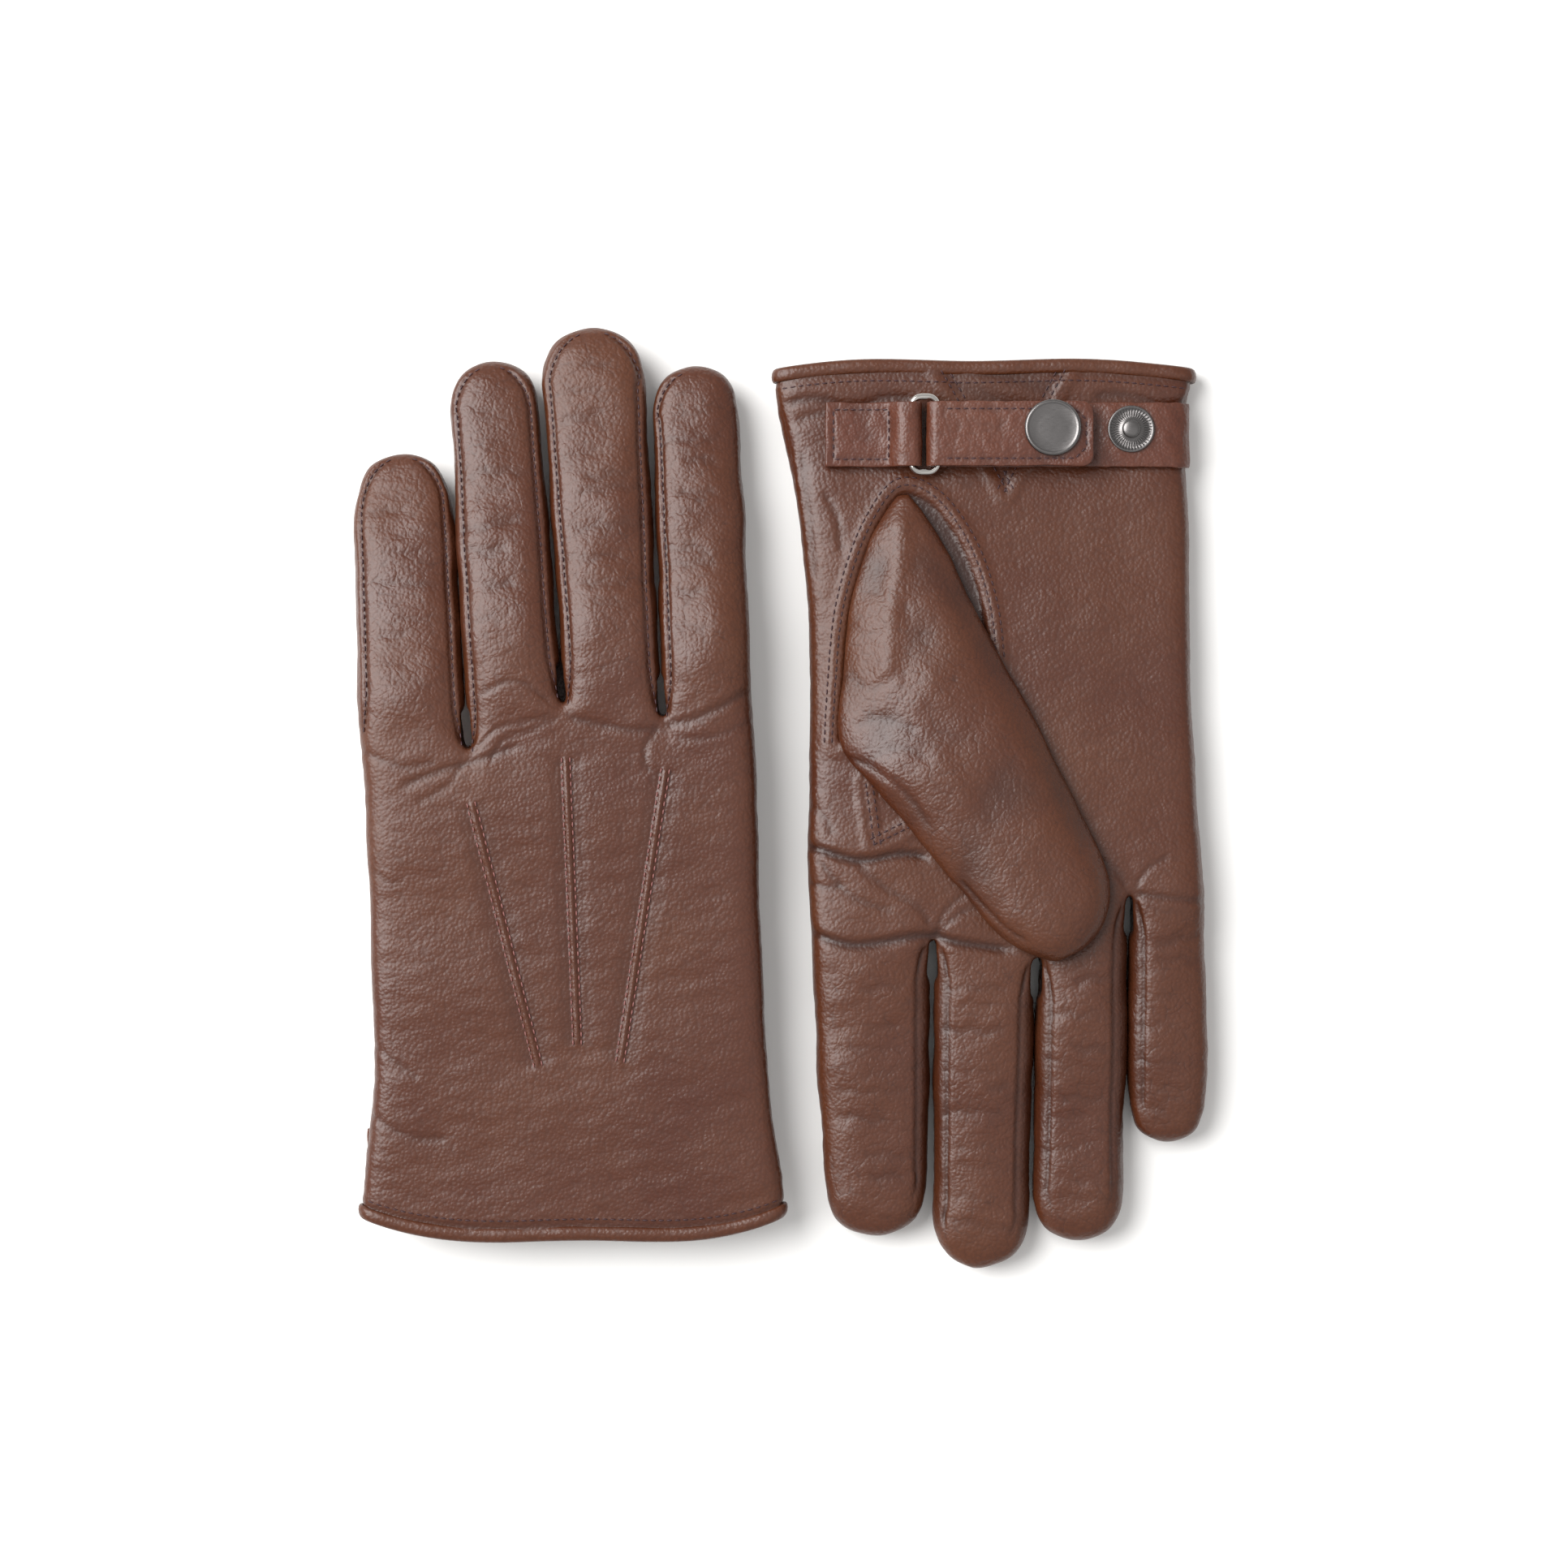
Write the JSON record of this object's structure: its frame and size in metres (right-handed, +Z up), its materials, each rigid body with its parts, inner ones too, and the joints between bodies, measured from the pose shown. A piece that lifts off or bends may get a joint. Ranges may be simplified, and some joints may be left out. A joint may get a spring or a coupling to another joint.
{
  "type": "leather gloves",
  "caption": "Pair of lined leather dress gloves with snap wrist straps, laid flat with the left palm down and the right palm up.",
  "frame": {"origin": "on the table, in plan under the middle of the pair as it lies", "axes": "+X from the left glove to the right glove, +Y the way the left glove's fingers point and against the right glove's, +Z up from the table"},
  "size_m": [0.2295, 0.255, 0.025],
  "materials": {
    "glove_leather": "fine-grained aniline leather, satin, warm mid brown",
    "strap_leather": "the same brown leather, smoother and a little glossier",
    "knit": "dark brown soft knit",
    "nickel": "bright nickel plate",
    "gunmetal": "brushed dark gunmetal plate"
  },
  "bodies": {
    "left_hand": {"left_trank": "glove_leather", "left_hand_lining": "knit", "left_cuff_binding": "glove_leather", "left_vent_gusset": "glove_leather", "left_thumb_quirk": "glove_leather", "left_thumb_root": "glove_leather", "left_strap": "strap_leather", "left_strap_keeper": "strap_leather", "left_snap_stud": "gunmetal", "left_spare_stud": "gunmetal"},
    "left_index": {"left_index_finger": "glove_leather", "left_index_lining": "knit", "left_index_fourchette_little_side": "glove_leather"},
    "left_middle": {"left_middle_finger": "glove_leather", "left_middle_lining": "knit", "left_middle_fourchette_little_side": "glove_leather", "left_middle_fourchette_index_side": "glove_leather"},
    "left_ring": {"left_ring_finger": "glove_leather", "left_ring_lining": "knit", "left_ring_fourchette_little_side": "glove_leather", "left_ring_fourchette_index_side": "glove_leather"},
    "left_little": {"left_little_finger": "glove_leather", "left_little_lining": "knit", "left_little_fourchette_index_side": "glove_leather"},
    "left_thumb": {"left_thumb": "glove_leather", "left_thumb_lining": "knit"},
    "left_tail": {"left_strap_tail": "strap_leather", "left_snap_cap": "gunmetal", "left_snap_socket": "gunmetal"},
    "left_loop": {"left_strap_loop": "nickel"},
    "right_hand": {"right_trank": "glove_leather", "right_hand_lining": "knit", "right_cuff_binding": "glove_leather", "right_vent_gusset": "glove_leather", "right_thumb_quirk": "glove_leather", "right_thumb_root": "glove_leather", "right_strap": "strap_leather", "right_strap_keeper": "strap_leather", "right_snap_stud": "gunmetal", "right_spare_stud": "gunmetal"},
    "right_index": {"right_index_finger": "glove_leather", "right_index_lining": "knit", "right_index_fourchette_little_side": "glove_leather"},
    "right_middle": {"right_middle_finger": "glove_leather", "right_middle_lining": "knit", "right_middle_fourchette_little_side": "glove_leather", "right_middle_fourchette_index_side": "glove_leather"},
    "right_ring": {"right_ring_finger": "glove_leather", "right_ring_lining": "knit", "right_ring_fourchette_little_side": "glove_leather", "right_ring_fourchette_index_side": "glove_leather"},
    "right_little": {"right_little_finger": "glove_leather", "right_little_lining": "knit", "right_little_fourchette_index_side": "glove_leather"},
    "right_thumb": {"right_thumb": "glove_leather", "right_thumb_lining": "knit"},
    "right_tail": {"right_strap_tail": "strap_leather", "right_snap_cap": "gunmetal", "right_snap_socket": "gunmetal"},
    "right_loop": {"right_strap_loop": "nickel"}
  },
  "joints": [
    {"name": "left_index_curl", "type": "hinge", "parent": "left_hand", "child": "left_index", "pos_m": [-0.0207, 0.03824, 0.0093], "axis": [-0.9989, -0.0471, -0.0017], "range_deg": [0, 80]},
    {"name": "left_middle_curl", "type": "hinge", "parent": "left_hand", "child": "left_middle", "pos_m": [-0.0466, 0.04424, 0.00932], "axis": [-0.9982, -0.0593, -0.0021], "range_deg": [0, 80]},
    {"name": "left_ring_curl", "type": "hinge", "parent": "left_hand", "child": "left_ring", "pos_m": [-0.0732, 0.04424, 0.00932], "axis": [-0.9968, -0.0801, -0.0029], "range_deg": [0, 80]},
    {"name": "left_little_curl", "type": "hinge", "parent": "left_hand", "child": "left_little", "pos_m": [-0.0996, 0.02623, 0.00926], "axis": [-0.9987, -0.0506, -0.0018], "range_deg": [0, 80]},
    {"name": "left_thumb_lift", "type": "hinge", "parent": "left_hand", "child": "left_thumb", "pos_m": [-0.04045, -0.02156, -0.0002], "axis": [-0.9287, -0.3709, -0.0013], "range_deg": [0, 70]},
    {"name": "left_strap_open", "type": "hinge", "parent": "left_hand", "child": "left_tail", "pos_m": [-0.04505, -0.09729, 0.00205], "axis": [0, -0.9994, -0.0357], "range_deg": [0, 150]},
    {"name": "left_loop_swing", "type": "hinge", "parent": "left_hand", "child": "left_loop", "pos_m": [-0.0368, -0.0974, 0.00515], "axis": [0, -0.9994, -0.0357], "range_deg": [-3, 3]},
    {"name": "right_index_curl", "type": "hinge", "parent": "right_hand", "child": "right_index", "pos_m": [0.0241, -0.0372, 0.015], "axis": [-0.9996, -0.0279, 0], "range_deg": [0, 80]},
    {"name": "right_middle_curl", "type": "hinge", "parent": "right_hand", "child": "right_middle", "pos_m": [0.0548, -0.0432, 0.01519], "axis": [-0.9997, 0.0227, 0], "range_deg": [0, 80]},
    {"name": "right_ring_curl", "type": "hinge", "parent": "right_hand", "child": "right_ring", "pos_m": [0.0812, -0.0432, 0.01519], "axis": [-0.9999, 0.0157, 0], "range_deg": [0, 80]},
    {"name": "right_little_curl", "type": "hinge", "parent": "right_hand", "child": "right_little", "pos_m": [0.1043, -0.0252, 0.01461], "axis": [-1, 0, 0], "range_deg": [0, 80]},
    {"name": "right_thumb_lift", "type": "hinge", "parent": "right_hand", "child": "right_thumb", "pos_m": [0.03855, 0.0229, 0.02236], "axis": [-0.9287, -0.3707, 0.012], "range_deg": [0, 70]},
    {"name": "right_strap_open", "type": "hinge", "parent": "right_hand", "child": "right_tail", "pos_m": [0.04315, 0.0985, 0.0174], "axis": [0, -1, 0], "range_deg": [0, 150]},
    {"name": "right_loop_swing", "type": "hinge", "parent": "right_hand", "child": "right_loop", "pos_m": [0.0349, 0.0985, 0.0143], "axis": [0, -1, 0], "range_deg": [-3, 3]},
    {"name": "right_glove_lift", "type": "slide", "parent": "left_hand", "child": "right_hand", "axis": [0, 0, 1], "range_m": [0, 0.06]}
  ]
}
